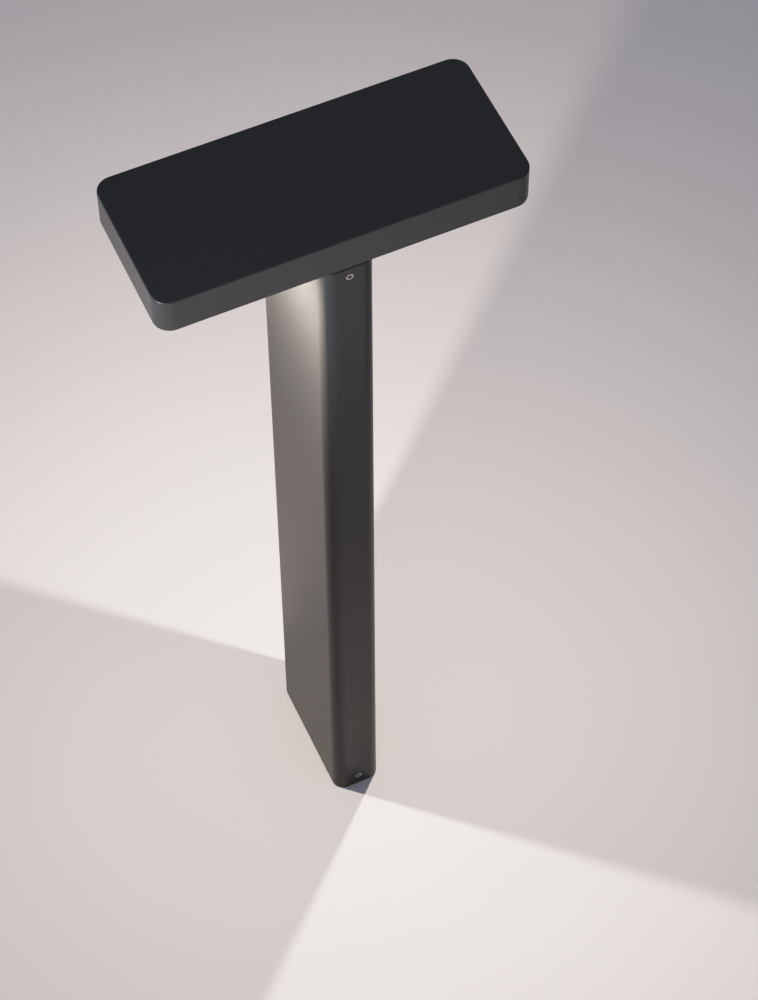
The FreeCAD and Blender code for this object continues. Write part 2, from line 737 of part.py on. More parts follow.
def spigot():
    """Box-section plug that hangs from the underplate and fits inside the post."""
    body = piece("spigot")
    foot = f"({UNDERSIDE} - spigot_length)"
    block = sketch(body, "Z", foot)
    slab(block, "0", "0", SPIGOT_X, SPIGOT_Y, f"{INNER_CORNER} - spigot_gap")
    slab(block, "0", "0", f"{SPIGOT_X} - 2 * spigot_wall", f"{SPIGOT_Y} - 2 * spigot_end",
         "spigot_corner")
    pad(block, "spigot_length")
    plain_holes(body, "Z", SPIGOT_SPOTS, UNDERSIDE, -1, "large_shank + thread_gap", "spigot_hole")
    for side, face in POST_ENDS:
        plain_holes(body, "Y", [("0", TOP_SCREW)], face, -side, "fixing_radius + thread_gap", "fixing_hole")
    pan_screws(piece("spigot_screws"), "Z", SPIGOT_SPOTS, PLATE_TOP, -1, "large",
               "spigot_screw_reach")


def seal_ring(label, level, thickness, inner_x, inner_y, inner_corner):
    """Flat gasket that follows the post, set back a little from its face."""
    body = piece(label)
    ring = sketch(body, "Z", level)
    slab(ring, "0", "0", "post_thickness - 2 * seal_inset", "body_depth - 2 * seal_inset",
         "post_corner - seal_inset")
    slab(ring, "0", "0", inner_x, inner_y, inner_corner)
    pad(ring, thickness)


def post():
    """Rectangular extrusion with a tapped hole high and low in each narrow face."""
    body = piece("post_tube")
    section = sketch(body, "Z", "base_seal")
    slab(section, "0", "0", "post_thickness", "body_depth", "post_corner")
    slab(section, "0", "0", INNER_X, INNER_Y, INNER_CORNER)
    pad(section, f"{POST_TOP} - base_seal")
    for side, face in POST_ENDS:
        spots = [("0", TOP_SCREW), ("0", "foot_screw_height")]
        plain_holes(body, "Y", spots, face, -side, "fixing_radius + thread_gap", "post_wall")

    seal_ring("neck_gasket", POST_TOP, "neck_seal", f"{SPIGOT_X} + fit_gap", f"{SPIGOT_Y} + fit_gap",
              f"{INNER_CORNER} - spigot_gap + fit_gap / 2")
    seal_ring("base_gasket", "0", "base_seal", INNER_X, INNER_Y, INNER_CORNER)

    for label, height in (("head_fixing_screws", TOP_SCREW), ("base_fixing_screws", "foot_screw_height")):
        body = piece(label)
        for side, face in POST_ENDS:
            spots = [("0", height)]
            pad(circles(sketch(body, "Y", face), spots, "fixing_radius"), "fixing_reach", -side)
            socket = hexagons(sketch(body, "Y", face), spots, "fixing_key")
            pocket(socket, "fixing_key_depth", -side)


def mounting_foot():
    """Ground plate inside the post with an upright at each end for the post's screws."""
    body = piece("mounting_foot")
    plate = sketch(body, "Z", "0")
    slab(plate, "0", "0", f"{INNER_X} - 2 * loose_gap", FOOT_Y, f"{INNER_CORNER} - loose_gap")
    pad(plate, "foot_plate")
    for side, face in POST_ENDS:
        upright = sketch(body, "Z", "foot_plate")
        rectangle(upright, "0", f"{side} * ({FOOT_Y} - upright_wall) / 2", UPRIGHT_X, "upright_wall")
        pad(upright, "upright_height - foot_plate")
        spots = [("0", "foot_screw_height")]
        depth = "post_wall + loose_gap + upright_wall"
        plain_holes(body, "Y", spots, face, -side, "fixing_radius + thread_gap", depth)
    anchors = [("0", f"{j} * ({FOOT_Y} / 2 - upright_wall - anchor_clear)") for j in (-1, 1)]
    plain_holes(body, "Z", anchors, "0", 1, "anchor_radius", "foot_plate")
    plain_holes(body, "Z", [("0", "0")], "0", 1, "entry_radius", "foot_plate")
    plain_holes(body, "Z", TRAY_SPOTS, "0", 1, "large_shank + thread_gap", "foot_plate")

    body = piece("entry_grommet")
    flange = circles(sketch(body, "Z", "foot_plate"), [("0", "0")], "entry_radius + grommet_lip")
    pad(flange, "grommet_flange")
    sleeve = circles(sketch(body, "Z", "foot_plate"), [("0", "0")], "entry_radius - fit_gap / 2")
    pad(sleeve, "foot_plate - grommet_lift", -1)
    round_edges(body, "grommet_edge", flat_at("foot_plate + grommet_flange"))
    plain_holes(body, "Z", [("0", "0")], "0", 1, "entry_bore", "foot_plate + grommet_flange")


def gear_tray():
    """Folded sheet that stands on the foot and carries driver, terminals and cable clips."""
    body = piece("gear_tray")
    fold = sketch(body, "Y", "0")
    outline(fold, [(TRAY_BACK, "foot_plate"), (TRAY_REACH, "foot_plate"),
                   (TRAY_REACH, TRAY_FOOT), (TRAY_FACE, TRAY_FOOT),
                   (TRAY_FACE, "tray_top"), (TRAY_BACK, "tray_top")])
    pad(fold, "tray_width", both=True)
    clearance = "entry_radius + grommet_lip + shank_gap"
    plain_holes(body, "Z", [("0", "0")], "foot_plate", 1, clearance, "tray_sheet")
    plain_holes(body, "Z", TRAY_SPOTS, "foot_plate", 1, "large_shank + shank_gap", "tray_sheet")
    small = DRIVER_SPOTS + BLOCK_SPOTS
    plain_holes(body, "X", small, TRAY_BACK, 1, "small_shank + thread_gap", "tray_sheet")
    plain_holes(body, "X", EARTH_SPOT, TRAY_BACK, 1, "large_shank + thread_gap", "tray_sheet")
    plain_holes(body, "X", CLIP_SPOTS, TRAY_BACK, 1, "small_shank + thread_gap", "tray_sheet")
    pan_screws(piece("tray_screws"), "Z", TRAY_SPOTS, TRAY_FOOT, -1, "large", "tray_screw_reach")


def driver():
    """LED driver: sleeve case, two end caps with ears, and its board with parts."""
    middle_x = f"({TRAY_FACE} + driver_height / 2)"
    body = piece("driver_case")
    sleeve = sketch(body, "Z", "driver_base")
    slab(sleeve, middle_x, "0", "driver_height", "driver_width", "driver_corner")
    slab(sleeve, middle_x, "0", "driver_height - 2 * driver_wall", "driver_width - 2 * driver_wall",
         "driver_corner - driver_wall")
    pad(sleeve, "driver_length")

    wires = [(DRIVER_WIRE_X, f"{j} * driver_wire_y") for j in (-1, 1)]
    ends = (("lower", "driver_base", -1, wires, "lead_radius"),
            ("upper", "(driver_base + driver_length)", 1, [(middle_x, "0")], "output_radius"))
    for name, seat, way, entries, radius in ends:
        body = piece(f"driver_cap_{name}")
        cap = sketch(body, "Z", seat)
        slab(cap, middle_x, "0", "driver_height", "driver_width", "driver_corner")
        pad(cap, "cap_thickness", way)
        tip = f"{seat} + {way} * (cap_thickness + ear_length / 2)"
        ear = rectangle(sketch(body, "X", TRAY_FACE), "0", tip, "ear_width", "ear_length")
        pad(ear, "ear_thickness")
        screw_spot = [("0", f"{seat} + {way} * (cap_thickness + {EAR_SCREW})")]
        plain_holes(body, "X", screw_spot, TRAY_FACE, 1, "small_shank + shank_gap", "ear_thickness")
        plain_holes(body, "Z", entries, seat, way, f"{radius} + fit_gap / 2", "cap_thickness")

    body = piece("driver_board")
    face = f"({TRAY_FACE} + driver_wall + driver_board_rise)"
    board = sketch(body, "X", face)
    middle_z = "(driver_base + driver_length / 2)"
    rectangle(board, "0", middle_z, "driver_width - 2 * driver_wall - 2 * loose_gap",
              "driver_length - 2 * loose_gap")
    pad(board, "board_thickness")

    front = f"({face} + board_thickness)"
    body = piece("driver_transformer")
    core = rectangle(sketch(body, "X", front), "0", middle_z, "core_width", "core_length")
    pad(core, "core_height")
    seat = sketch(body, "X", f"{front} + core_height")
    pad(rectangle(seat, "0", middle_z, "winding_width", "winding_length"), "winding_height")

    body = piece("driver_capacitors")
    cans = [("can_y", "(driver_base + can_low)"), ("-can_y", "(driver_base + driver_length - can_high)")]
    pad(circles(sketch(body, "X", front), cans, "can_radius"), "can_height")

    ear_face = f"({TRAY_FACE} + ear_thickness)"
    pan_screws(piece("driver_screws"), "X", DRIVER_SPOTS, ear_face, -1, "small", "tray_screw_reach")


def terminal_block():
    """Three-pole block; each pole has a contact bar and a lever on integral trunnions."""
    body = piece("terminal_block")
    pad(rectangle(sketch(body, "X", TRAY_FACE), "0", "block_base + block_height / 2",
                  "block_width", "block_height"), "block_depth")
    tabs = "(block_width + 2 * tab_width)"
    pad(rectangle(sketch(body, "X", TRAY_FACE), "0", TAB_SCREW_Z, tabs, "tab_height"), "tab_thickness")
    plain_holes(body, "X", BLOCK_SPOTS, TRAY_FACE, 1, "small_shank + shank_gap", "tab_thickness")
    slot_width = "lever_width + 2 * lever_gap"
    slot_back = f"({LEVER_AXIS_X} - knuckle_radius - lever_gap)"
    slot_foot = f"({LEVER_AXIS_Z} - lever_length - lever_tip_room)"
    for pole in POLES.values():
        slot = sketch(body, "Y", pole)
        outline(slot, [(slot_back, slot_foot), (BLOCK_FACE, slot_foot), (BLOCK_FACE, BLOCK_TOP),
                       (slot_back, BLOCK_TOP)])
        pocket(slot, slot_width, both=True)
        bearing = circles(sketch(body, "Y", pole), [(LEVER_AXIS_X, LEVER_AXIS_Z)],
                          "trunnion_radius + trunnion_gap")
        pocket(bearing, "lever_width + 2 * trunnion_length + 2 * fit_gap", both=True)
    entries = [(TERMINAL_X, pole) for pole in POLES.values()]
    plain_holes(body, "Z", entries, "block_base", 1, "wire_bore", "block_height")
    chamber = sketch(body, "Z", f"{CONTACT_FOOT} - fit_gap")
    for x, y in entries:
        rectangle(chamber, x, y, "contact_thickness + 2 * fit_gap", "contact_width + 2 * fit_gap")
    pocket(chamber, f"{CONTACT_TOP} - {CONTACT_FOOT} + 2 * fit_gap")

    body = piece("terminal_contacts")
    bars = sketch(body, "Z", CONTACT_FOOT)
    for x, y in entries:
        rectangle(bars, x, y, "contact_thickness", "contact_width")
    pad(bars, f"{CONTACT_TOP} - {CONTACT_FOOT}")

    for name, pole in POLES.items():
        body = piece(f"{name}_lever")
        knuckle = circles(sketch(body, "Y", pole), [(LEVER_AXIS_X, LEVER_AXIS_Z)], "knuckle_radius")
        pad(knuckle, "lever_width", both=True)
        blade = sketch(body, "Y", pole)
        front = f"({LEVER_AXIS_X} + knuckle_radius)"
        back = f"({front} - lever_sheet)"
        tip = f"({LEVER_AXIS_Z} - lever_length)"
        outline(blade, [(back, tip), (front, tip), (front, LEVER_AXIS_Z), (back, LEVER_AXIS_Z)])
        pad(blade, "lever_width", both=True)
        pins = circles(sketch(body, "Y", pole), [(LEVER_AXIS_X, LEVER_AXIS_Z)], "trunnion_radius")
        pad(pins, "lever_width + 2 * trunnion_length", both=True)

    tab_face = f"({TRAY_FACE} + tab_thickness)"
    pan_screws(piece("terminal_screws"), "X", BLOCK_SPOTS, tab_face, -1, "small", "tray_screw_reach")


def earth_bond():
    """Earth stud on the tray: screw, washer, lug and the lead down to the block."""
    body = piece("earth_washer")
    washer = sketch(body, "X", TRAY_FACE)
    circles(washer, EARTH_SPOT, "lug_radius")
    circles(washer, EARTH_SPOT, "large_shank + shank_gap")
    pad(washer, "earth_washer")

    body = piece("earth_lug")
    lug_face = f"({TRAY_FACE} + earth_washer)"
    pad(circles(sketch(body, "X", lug_face), EARTH_SPOT, "lug_radius"), "lug_sheet")
    pad(rectangle(sketch(body, "X", lug_face), "earth_y", "earth_z - lug_tongue_length / 2",
                  "lug_tongue_width", "lug_tongue_length"), "lug_sheet")
    pad(rectangle(sketch(body, "X", lug_face), "earth_y", f"{LUG_FOOT} + lug_barrel_length / 2",
                  "lug_barrel_width", "lug_barrel_length"), "lug_barrel_height")
    plain_holes(body, "X", EARTH_SPOT, lug_face, 1, "large_shank + shank_gap", "lug_sheet")

    pan_screws(piece("earth_screw"), "X", EARTH_SPOT, f"({lug_face} + lug_sheet)", -1, "large",
               "earth_screw_reach")


def wiring():
    """Internal wires and the driver's output cable, on their real routes."""
    for name, way in (("line", -1), ("neutral", 1)):
        pole = POLES[name]
        run(f"{name}_wire",
            [(TERMINAL_X, pole, CONTACT_TOP), (TERMINAL_X, pole, f"{BLOCK_TOP} + wire_rise"),
             (DRIVER_WIRE_X, f"{way} * driver_wire_y", f"{CAP_FOOT} - wire_drop"),
             (DRIVER_WIRE_X, f"{way} * driver_wire_y", "driver_base")], "lead_radius")
    lug_x = f"{TRAY_FACE} + earth_washer + lug_barrel_height / 2"
    run("earth_lead",
        [(TERMINAL_X, POLES["earth"], CONTACT_TOP), (TERMINAL_X, POLES["earth"], f"{BLOCK_TOP} + wire_rise"),
         (lug_x, "earth_y", f"{LUG_FOOT} - wire_rise"), (lug_x, "earth_y", LUG_FOOT)], "lead_radius")
    middle_x = f"{TRAY_FACE} + driver_height / 2"
    run("output_cable",
        [(middle_x, "0", "driver_base + driver_length"), (middle_x, "0", f"{CAP_TOP} + cable_rise"),
         (CLIP_X, "0", "clip_low - cable_below_clips"), (CLIP_X, "0", "clip_high + cable_above_clips"),
         ("0", "0", "clip_high + cable_at_centre"), ("0", "0", SHEATH_END)], "output_radius")

    body = piece("cable_clips")
    for spot in CLIP_SPOTS:
        pad(rectangle(sketch(body, "X", TRAY_FACE), *spot, "clip_size + clip_ear", "clip_size"), "clip_size")
        stem = circles(sketch(body, "X", TRAY_FACE), [spot], "small_shank")
        pad(stem, "tray_sheet + clip_stem_end", -1)
    bore = circles(sketch(body, "Z", "clip_low - clip_size"), [(CLIP_X, "0")], "output_radius + thread_gap")
    pocket(bore, "clip_high - clip_low + 2 * clip_size")


def check_and_write():
    """Stop on any fault, then write one STEP file per piece."""
    doc.recompute()
    for item in doc.Objects:
        if "Invalid" in item.State or "Error" in item.State:
            raise RuntimeError(f"{item.Label} did not build: {item.State}")
        if item.TypeId in ("PartDesign::Pocket", "PartDesign::Groove"):
            if item.Shape.Volume > item.BaseFeature.Shape.Volume - 1e-3:
                raise RuntimeError(f"{item.Label} cuts nothing")
    os.makedirs("parts", exist_ok=True)
    for item in pieces:
        if item.Shape.isNull() or not item.Shape.isValid():
            raise RuntimeError(f"{item.Label} has a bad shape")
        print(f"{item.Label}: {len(item.Shape.Solids)} solids, {item.Shape.Volume:.1f} mm3")
        item.Shape.exportStep(f"parts/{item.Label}.step")
    print(len(pieces), "pieces")


head_housing()
underplate()
underplate_gasket()
underplate_screws()
vent_plug()
for wing_name, wing_side in WINGS.items():
    light_wing(wing_name, wing_side)
wing_screws()
cable_gland()
spigot()
post()
mounting_foot()
gear_tray()
driver()
terminal_block()
earth_bond()
wiring()
check_and_write()
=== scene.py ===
"""Bollard light: finishes, floor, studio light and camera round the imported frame. Metres, Z up."""
import math

import bpy
from mathutils import Matrix, Vector


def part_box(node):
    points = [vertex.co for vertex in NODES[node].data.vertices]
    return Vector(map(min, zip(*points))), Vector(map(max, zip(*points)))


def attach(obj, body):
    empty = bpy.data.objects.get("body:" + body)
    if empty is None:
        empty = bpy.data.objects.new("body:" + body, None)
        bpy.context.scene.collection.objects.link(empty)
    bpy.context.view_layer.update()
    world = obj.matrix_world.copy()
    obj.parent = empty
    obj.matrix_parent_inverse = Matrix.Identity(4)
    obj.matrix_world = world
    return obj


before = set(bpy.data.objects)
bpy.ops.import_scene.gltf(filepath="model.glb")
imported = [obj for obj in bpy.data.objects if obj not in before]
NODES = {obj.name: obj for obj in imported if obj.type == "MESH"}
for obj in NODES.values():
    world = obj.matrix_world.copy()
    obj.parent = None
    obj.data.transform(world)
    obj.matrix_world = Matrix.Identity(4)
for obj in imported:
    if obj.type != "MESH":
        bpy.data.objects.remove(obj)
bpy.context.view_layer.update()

# Camera: the direction it looks from, how far off it stands, what it looks at and its lens.
CAMERA_AZIMUTH = math.radians(-24.2377)
CAMERA_ELEVATION = math.radians(56.2072)
CAMERA_ROLL = math.radians(-0.2972)
CAMERA_DISTANCE = 2.16778
CAMERA_AIM = Vector((0.04089, 0.0, 0.28522))
CAMERA_REACH = 100.0
SENSOR = 36.0
LENS = 114.07

# Light: the two lit emitters, and the soft room light they stand in.
LED_WATTS = 3.06
LED_SIZE = 0.005
LED_GAP = 0.0004
LED_COLOUR = "#ffedde"
ROOM_STRENGTH = 0.32
ROOM_COLOUR = "#e4e8ff"

# A narrow soft lamp level with the head, off to its left and a little in front of it.
LAMP_BEARING = math.radians(203.0)
LAMP_DISTANCE = 0.9
LAMP_SIZE = 0.24
LAMP_SPREAD = math.radians(24.0)
LAMP_WATTS = 0.55
LAMP_RISE = 0.08
LAMP_COLOUR = "#f8f9ff"

# The tone curve's soft shoulder: light is shown as it is up to KNEE, then eases towards white.
KNEE = 0.38
BRIGHTEST = 4.0
SHOULDER_STEPS = 12
COMBINED = 3

# The powder coat's grain in millimetres: pimple width, pimple depth and the slow flow under them.
PIMPLE = 0.7
PIMPLE_DEPTH = 0.02
FLOW = 9.0
FLOW_SHARE = 0.25
MATT = 0.1
SATIN = 0.27

# The studio floor: a flat disk that curves up into a low round wall, so no edge shows.
FLOOR_REACH = 4.0
COVE_RADIUS = 2.0
WALL_TOP = 3.0
FLOOR_DROP = 0.0002
COVE_STEPS = 16
FLOOR_SIDES = 96


def linear(code):
    """A colour written as sRGB hex, as the linear colour that shaders take."""
    parts = [int(code[i:i + 2], 16) / 255 for i in (1, 3, 5)]
    return [p / 12.92 if p <= 0.04045 else ((p + 0.055) / 1.055) ** 2.4 for p in parts] + [1.0]


def grain(size):
    """The texture scale that draws one grain of a pattern as long as size, in millimetres."""
    return 1000.0 / size


def add(tree, kind, sockets=None, **settings):
    """Adds one node. sockets are its inputs, each a value or another node's output."""
    node = tree.nodes.new("ShaderNode" + kind)
    for name, value in settings.items():
        setattr(node, name, value)
    for name, value in (sockets or {}).items():
        if isinstance(value, bpy.types.NodeSocket):
            tree.links.new(value, node.inputs[name])
        else:
            node.inputs[name].default_value = value
    return node


def new_material(name):
    """An empty material with its output, and the piece's own coordinates in metres."""
    material = bpy.data.materials.new(name)
    material.use_nodes = True
    tree = material.node_tree
    tree.nodes.clear()
    place = add(tree, "TexCoord").outputs["Object"]
    return material, tree, place


def close(material, tree, shader):
    """Joins the shader to the material's output."""
    add(tree, "OutputMaterial", {"Surface": shader.outputs[0]})
    material.diffuse_color = shader.inputs["Base Color"].default_value
    return material


def mottled(tree, pattern, low, high):
    """A colour that drifts between two hex shades with a pattern. In a colour mix, socket 0 is
    the share, and 6 and 7 are the two colours."""
    mix = add(tree, "Mix", {0: pattern, 6: linear(low), 7: linear(high)}, data_type="RGBA")
    return mix.outputs[2]


def spread(tree, pattern, low, high):
    """A number that drifts between low and high with a pattern."""
    sockets = {"Value": pattern, "To Min": low, "To Max": high}
    return add(tree, "MapRange", sockets).outputs["Result"]


def relief(tree, pattern, depth):
    """Shading relief from a pattern, depth in millimetres."""
    return add(tree, "Bump", {"Height": pattern, "Distance": depth / 1000.0}).outputs["Normal"]


def stretched(tree, place, pull):
    """Coordinates squeezed so that a pattern is drawn out along an axis."""
    return add(tree, "Mapping", {"Vector": place, "Scale": pull}).outputs["Vector"]


def noise(tree, place, size, detail=2.0):
    """Cloudy noise whose grains are size millimetres across."""
    sockets = {"Vector": place, "Scale": grain(size), "Detail": detail}
    return add(tree, "TexNoise", sockets).outputs["Fac"]


def finish_of(name, shades, rough, size, depth, pull=(1.0, 1.0, 1.0), **shader_sockets):
    """A common finish: two shades, a roughness range and relief, all from one grain."""
    material, tree, place = new_material(name)
    pattern = noise(tree, stretched(tree, place, pull), size)
    sockets = {
        "Base Color": mottled(tree, pattern, *shades),
        "Roughness": spread(tree, pattern, *rough),
        "Normal": relief(tree, pattern, depth),
    }
    sockets.update(shader_sockets)
    shader = add(tree, "BsdfPrincipled", sockets)
    shader.inputs["Base Color"].default_value = linear(shades[0])
    return close(material, tree, shader)


def powder_coat(name, sheen):
    """Fine-texture polyester powder coat on aluminium, stoved: a dark skin whose tiny pimples
    break up the highlights, satin or matt by its sheen. The pimples are really 0.3 mm, and are
    drawn coarser so that they show."""
    material, tree, place = new_material(name)
    pimples = noise(tree, place, PIMPLE, detail=1.0)
    flow = noise(tree, place, FLOW)
    skin = add(tree, "Mix", {0: FLOW_SHARE, 2: pimples, 3: flow}, data_type="FLOAT").outputs[0]
    shader = add(tree, "BsdfPrincipled", {
        "Base Color": mottled(tree, skin, "#2a2b2b", "#363737"),
        "Roughness": spread(tree, skin, 0.27, 0.37),
        "IOR": 1.5,
        "Specular IOR Level": sheen,
        "Normal": relief(tree, pimples, PIMPLE_DEPTH),
    })
    shader.inputs["Base Color"].default_value = linear("#303131")
    return close(material, tree, shader)


def zinc_sheet():
    """Zinc-plated steel, pressed: a bright grey sheet with faint crystal patches 4 mm wide."""
    material, tree, place = new_material("steel_sheet_zinc_plated_pressed")
    patches = add(tree, "TexVoronoi", {"Vector": place, "Scale": grain(4.0)}).outputs["Color"]
    level = add(tree, "RGBToBW", {"Color": patches}).outputs["Val"]
    shader = add(tree, "BsdfPrincipled", {
        "Base Color": mottled(tree, level, "#b4bac0", "#cfd3d6"),
        "Roughness": spread(tree, level, 0.28, 0.42),
        "Metallic": 1.0,
    })
    shader.inputs["Base Color"].default_value = linear("#c2c7cb")
    return close(material, tree, shader)


def clear_glass():
    """Toughened float glass, polished: clear, with a roller wave of 40 mm too faint to see
    except as a slow bend in what it reflects."""
    material, tree, place = new_material("float_glass_toughened_polished")
    wave = noise(tree, place, 40.0)
    shader = add(tree, "BsdfPrincipled", {
        "Base Color": mottled(tree, wave, "#f2fbf7", "#f7fcfa"),
        "Roughness": spread(tree, wave, 0.0, 0.02),
        "IOR": 1.52,
        "Transmission Weight": 1.0,
        "Normal": relief(tree, wave, 0.02),
    })
    shader.inputs["Base Color"].default_value = linear("#f5fbf9")
    return close(material, tree, shader)


def phosphor():
    """Yellow phosphor under a clear silicone dome, cast: lit, so it glows warm white, with
    the powder's 0.3 mm clumps a little brighter."""
    material, tree, place = new_material("phosphor_silicone_dome_cast")
    clumps = noise(tree, place, 0.3)
    shader = add(tree, "BsdfPrincipled", {
        "Base Color": mottled(tree, clumps, "#f2dd96", "#fbe9ad"),
        "Roughness": 0.15,
        "Emission Color": linear("#ffeed6"),
        "Emission Strength": spread(tree, clumps, 14.0, 20.0),
    })
    shader.inputs["Base Color"].default_value = linear("#f6e3a2")
    return close(material, tree, shader)


def striped_wire():
    """PVC insulation in two colours, extruded: green with a yellow stripe down each side."""
    material, tree, place = new_material("pvc_insulation_green_yellow_extruded")
    sockets = {"Vector": place, "Scale": grain(9.0), "Distortion": 0.6}
    bands = add(tree, "TexWave", sockets, bands_direction="Y").outputs["Fac"]
    edge = add(tree, "MapRange", {"Value": bands, "From Min": 0.47, "From Max": 0.53}).outputs["Result"]
    shader = add(tree, "BsdfPrincipled", {
        "Base Color": mottled(tree, edge, "#1f8a3a", "#e8cf1c"),
        "Roughness": spread(tree, bands, 0.36, 0.44),
        "IOR": 1.53,
    })
    shader.inputs["Base Color"].default_value = linear("#1f8a3a")
    return close(material, tree, shader)


def painted_floor():
    """A painted studio floor, rolled: pale and matt, with a faint cloud where the roller lapped."""
    material, tree, place = new_material("studio_floor_emulsion_rolled")
    cloud = noise(tree, place, 180.0)
    nap = noise(tree, place, 2.0)
    shader = add(tree, "BsdfPrincipled", {
        "Base Color": mottled(tree, cloud, "#e4e3e3", "#e9e8e8"),
        "Roughness": spread(tree, nap, 0.72, 0.82),
        "Normal": relief(tree, nap, 0.01),
    })
    shader.inputs["Base Color"].default_value = linear("#e7e6e6")
    return close(material, tree, shader)


# Drawn or rolled along Z: fine lines 0.2 mm wide and 12 mm long.
ALONG_Z = (1.0, 1.0, 0.02)

FINISHES = {
    # Nearly matt charcoal: it only shines seen along the face.
    "powder_coat": powder_coat("powder_coat_fine_texture_stoved_matt", MATT),
    # Soft black rubber with a dull bloom.
    "rubber_seal": finish_of("epdm_rubber_moulded", ("#161616", "#212121"), (0.62, 0.75), 1.2, 0.03,
                             IOR=1.52),
    # Satin grey metal with short rolled marks.
    "stainless_steel": finish_of("stainless_steel_cold_headed", ("#aeaca8", "#c6c5c2"), (0.24, 0.38),
                                 0.6, 0.006, Metallic=1.0),
    # Bright, softly lined metal straight from the die.
    "plain_aluminium": finish_of("aluminium_mill_finish_extruded", ("#c3c4c6", "#d8d9da"),
                                 (0.3, 0.42), 0.5, 0.01, pull=ALONG_Z, Metallic=1.0),
    "zinc_steel": zinc_sheet(),
    "clear_glass": clear_glass(),
    # White plastic with a slight gloss that spreads the light.
    "white_reflector": finish_of("polycarbonate_white_moulded", ("#eceae6", "#f4f3f0"), (0.22, 0.32),
                                 1.0, 0.004, IOR=1.58),
    # White lacquer over the board's copper.
    "white_solder_mask": finish_of("solder_mask_white_screened", ("#e6e8e2", "#eff0eb"), (0.38, 0.5),
                                   2.0, 0.01, IOR=1.5),
    "led_phosphor": phosphor(),
    # Milky plastic, a little waxy.
    "white_nylon": finish_of("nylon_natural_moulded", ("#dedbd0", "#e8e5da"), (0.42, 0.55), 0.8, 0.008,
                             IOR=1.53),
    # Soft matt pad, blue-grey.
    "thermal_silicone": finish_of("silicone_gap_pad_calendered", ("#93a7c4", "#a2b4cd"), (0.7, 0.85),
                                  0.8, 0.02, IOR=1.41),
    # Smooth soft plastic with faint draw lines.
    "white_lead": finish_of("pvc_insulation_white_extruded", ("#dfdeda", "#eae9e6"), (0.36, 0.48), 0.7,
                            0.004, IOR=1.53),
    # Black plastic with a fine spark-eroded grain.
    "black_nylon": finish_of("nylon_black_moulded", ("#1b1b1c", "#262627"), (0.42, 0.58), 0.5, 0.012,
                             IOR=1.53),
    # Warm white case plastic with a light grain.
    "white_driver_case": finish_of("abs_white_moulded", ("#dcdbd6", "#e4e3df"), (0.4, 0.52), 0.6,
                                   0.012, IOR=1.54),
    # Green lacquer, darker between the tracks.
    "green_circuit_board": finish_of("glass_fibre_board_green_mask", ("#14512b", "#1f7a40"),
                                     (0.3, 0.45), 1.6, 0.02, IOR=1.5),
    # Dark tape wound on grey ferrite.
    "black_winding": finish_of("ferrite_core_taped", ("#2a2724", "#3b3733"), (0.45, 0.65), 0.8, 0.02,
                               pull=ALONG_Z, IOR=1.5),
    # Shiny dark plastic shrunk tight.
    "can_sleeve": finish_of("pvc_sleeve_shrunk", ("#1a2540", "#223052"), (0.2, 0.3), 1.0, 0.004,
                            IOR=1.53),
    # Mid grey plastic with a fine grain.
    "grey_terminal_plastic": finish_of("polyamide_grey_moulded", ("#a8abad", "#b5b8ba"), (0.4, 0.55),
                                       0.5, 0.01, IOR=1.53),
    # Bright glossy plastic.
    "orange_lever_plastic": finish_of("polycarbonate_orange_moulded", ("#ea8414", "#f39325"),
                                      (0.22, 0.34), 0.6, 0.006, IOR=1.58),
    # Soft silvery plating over copper.
    "tinned_copper": finish_of("copper_tin_plated_pressed", ("#cfc9bd", "#ddd8ce"), (0.25, 0.4), 0.5,
                               0.004, Metallic=1.0),
    # The same soft plastic in the two colours of the live wires.
    "brown_wire": finish_of("pvc_insulation_brown_extruded", ("#5d3a26", "#6e4730"), (0.36, 0.48), 0.7,
                            0.004, IOR=1.53),
    "blue_wire": finish_of("pvc_insulation_blue_extruded", ("#2a5cae", "#3569c0"), (0.36, 0.48), 0.7,
                           0.004, IOR=1.53),
    "green_yellow_wire": striped_wire(),
    # Matt black sheath with faint draw lines.
    "black_cable": finish_of("rubber_sheath_black_extruded", ("#1f1f1f", "#2b2b2b"), (0.5, 0.65), 0.8,
                             0.01, IOR=1.52),
}


# The head's pieces take the same powder a little smoother, so their coat is satin.
SATIN_COAT = powder_coat("powder_coat_fine_texture_stoved_satin", SATIN)
SATIN_NODES = ("head_housing", "underplate")


def finish_nodes():
    """Gives every CAD node the finish that its own material slot names."""
    for name, node in NODES.items():
        for place in node.material_slots:
            slot = place.material.name.split(".")[0]
            satin = slot == "powder_coat" and name in SATIN_NODES
            place.material = SATIN_COAT if satin else FINISHES[slot]


def lay_floor():
    """The studio floor: rings of points from the middle out, up the cove and the wall."""
    turns = [math.pi / 2 * step / COVE_STEPS for step in range(COVE_STEPS + 1)]
    profile = [(FLOOR_REACH + COVE_RADIUS * math.sin(a), COVE_RADIUS * (1.0 - math.cos(a)))
               for a in turns]
    profile.append((FLOOR_REACH + COVE_RADIUS, WALL_TOP))
    points = [(0.0, 0.0, -FLOOR_DROP)]
    for radius, height in profile:
        for side in range(FLOOR_SIDES):
            angle = 2 * math.pi * side / FLOOR_SIDES
            points.append((radius * math.cos(angle), radius * math.sin(angle), height - FLOOR_DROP))
    faces = []
    for side in range(FLOOR_SIDES):
        after = (side + 1) % FLOOR_SIDES
        faces.append((0, 1 + side, 1 + after))
        for ring in range(len(profile) - 1):
            inner, outer = 1 + ring * FLOOR_SIDES, 1 + (ring + 1) * FLOOR_SIDES
            faces.append((inner + side, outer + side, outer + after, inner + after))
    mesh = bpy.data.meshes.new("floor")
    mesh.from_pydata(points, [], faces)
    mesh.shade_smooth()
    mesh.materials.append(painted_floor())
    floor = bpy.data.objects.new("floor", mesh)
    bpy.context.scene.collection.objects.link(floor)


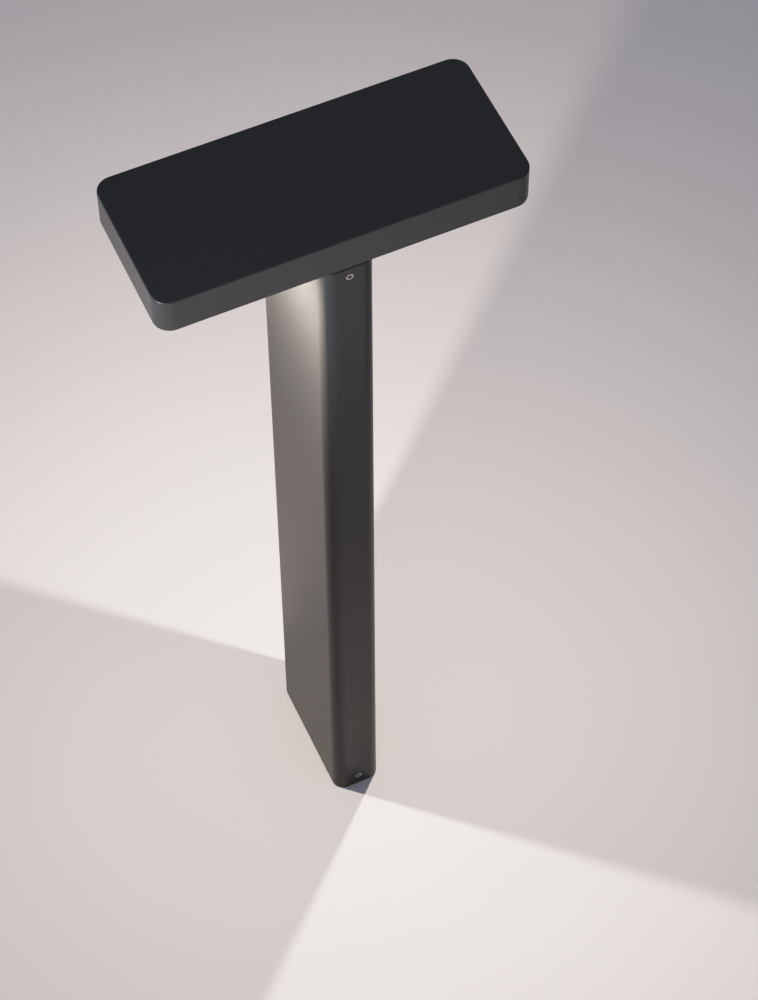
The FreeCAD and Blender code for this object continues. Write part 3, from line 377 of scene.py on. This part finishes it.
def aimed(origin, target):
    """A placement at origin whose -Z looks at target."""
    turn = (Vector(target) - Vector(origin)).to_track_quat("-Z", "Y")
    return Matrix.Translation(origin) @ turn.to_matrix().to_4x4()


def lamp(name, origin, target, size, watts, colour, spread=math.pi):
    """One round soft lamp. Its face is hidden from the camera and still shows in reflections."""
    light = bpy.data.lights.new(name, "AREA")
    light.shape = "DISK"
    light.size = size
    light.spread = spread
    light.energy = watts
    light.color = linear(colour)[:3]
    holder = bpy.data.objects.new(name, light)
    holder.matrix_world = aimed(origin, target)
    holder.visible_camera = False
    bpy.context.scene.collection.objects.link(holder)
    return holder


def light_emitters():
    """A small warm disk of light just under each window, straight below its emitter."""
    for side in ("left", "right"):
        low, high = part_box("led_emitter_" + side)
        glass_low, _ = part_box("window_glass_" + side)
        x, y = (low[0] + high[0]) / 2, (low[1] + high[1]) / 2
        z = glass_low[2] - LED_GAP
        holder = lamp("led_" + side, (x, y, z), (x, y, 0.0), LED_SIZE, LED_WATTS, LED_COLOUR)
        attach(holder, "root")


def light_room():
    """An even, dim and slightly cool room."""
    world = bpy.data.worlds.new("room")
    bpy.context.scene.world = world
    world.use_nodes = True
    backdrop = world.node_tree.nodes["Background"]
    backdrop.inputs["Color"].default_value = linear(ROOM_COLOUR)
    backdrop.inputs["Strength"].default_value = ROOM_STRENGTH


def light_head():
    """The narrow lamp level with the head, which lifts its left end and its near side."""
    low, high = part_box("head_housing")
    level = (low[2] + high[2]) / 2
    target = (low[0] / 2, low[1], level)
    origin = (target[0] + LAMP_DISTANCE * math.cos(LAMP_BEARING),
              target[1] + LAMP_DISTANCE * math.sin(LAMP_BEARING), level + LAMP_RISE)
    lamp("lamp_left", origin, target, LAMP_SIZE, LAMP_WATTS, LAMP_COLOUR, LAMP_SPREAD)


def place_camera():
    """The camera, from its direction, roll and distance."""
    flat = math.cos(CAMERA_ELEVATION)
    back = Vector((math.sin(CAMERA_AZIMUTH) * flat, -math.cos(CAMERA_AZIMUTH) * flat,
                   math.sin(CAMERA_ELEVATION)))
    right = Vector((0.0, 0.0, 1.0)).cross(back).normalized()
    up = back.cross(right)
    tilt = Matrix.Rotation(CAMERA_ROLL, 3, back)
    right, up = tilt @ right, tilt @ up
    camera = bpy.data.cameras.new("camera")
    camera.sensor_fit = "AUTO"
    camera.sensor_width = SENSOR
    camera.lens = LENS
    camera.clip_end = CAMERA_REACH
    holder = bpy.data.objects.new("camera", camera)
    turn = Matrix((right, up, back)).transposed().to_4x4()
    holder.matrix_world = Matrix.Translation(CAMERA_AIM + back * CAMERA_DISTANCE) @ turn
    bpy.context.scene.collection.objects.link(holder)
    bpy.context.scene.camera = holder


def shown(light):
    """How bright a light level is shown: true up to the knee, eased above it."""
    above = max(light - KNEE, 0.0)
    room = 1.0 - KNEE
    return min(light, KNEE) + room * (1.0 - math.exp(-above / room))


def ease_highlights():
    """Sets the view's tone curve, with its shoulder."""
    view = bpy.context.scene.view_settings
    view.view_transform = "Standard"
    view.use_curve_mapping = True
    curves = view.curve_mapping
    curves.white_level = (BRIGHTEST,) * 3
    combined = curves.curves[COMBINED]
    levels = [KNEE * (BRIGHTEST / KNEE) ** (step / SHOULDER_STEPS) for step in range(SHOULDER_STEPS)]
    for level in [KNEE / 4, KNEE / 2] + levels:
        combined.points.new(level / BRIGHTEST, shown(level))
    combined.points[-1].location = (1.0, shown(BRIGHTEST))
    curves.update()


finish_nodes()
lay_floor()
light_emitters()
light_room()
light_head()
place_camera()
ease_highlights()
